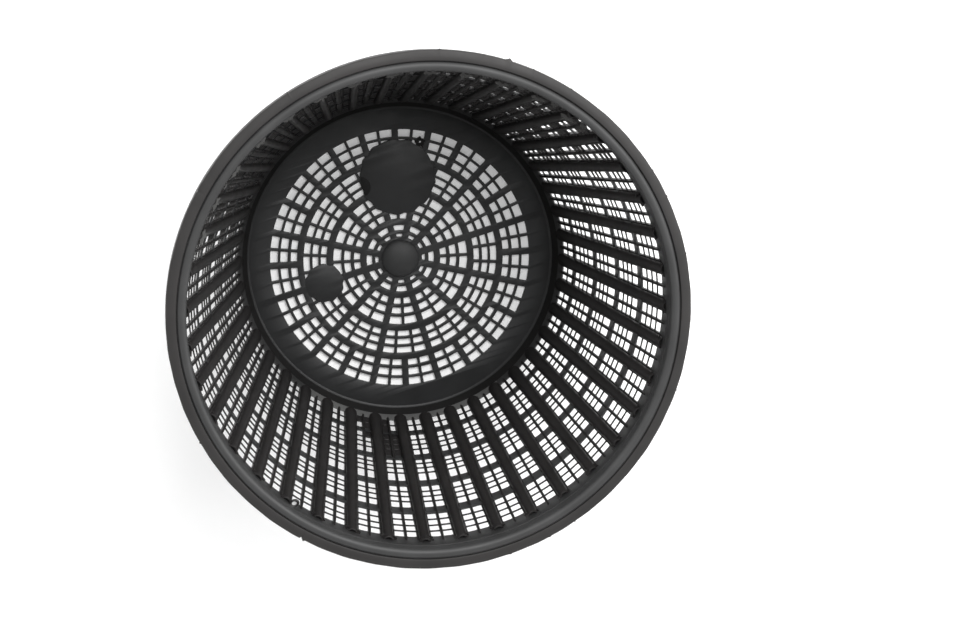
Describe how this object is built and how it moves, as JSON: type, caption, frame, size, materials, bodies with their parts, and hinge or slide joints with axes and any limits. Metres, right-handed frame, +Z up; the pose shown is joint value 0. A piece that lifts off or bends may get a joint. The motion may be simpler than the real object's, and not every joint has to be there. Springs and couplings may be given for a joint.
{
  "type": "pond planting basket",
  "caption": "Round tapered planting basket for ponds, with an open ribbed wall, an open floor and a turned-down rim.",
  "frame": {"origin": "middle of the underside of the floor, on the surface that the basket stands on", "axes": "+Z up, out of the basket's mouth; +X through one rib of the wall and one spoke of the floor"},
  "size_m": [0.28, 0.28, 0.174],
  "materials": {
    "black_plastic": "satin"
  },
  "bodies": {
    "root": {"basket": "black_plastic"}
  },
  "joints": []
}
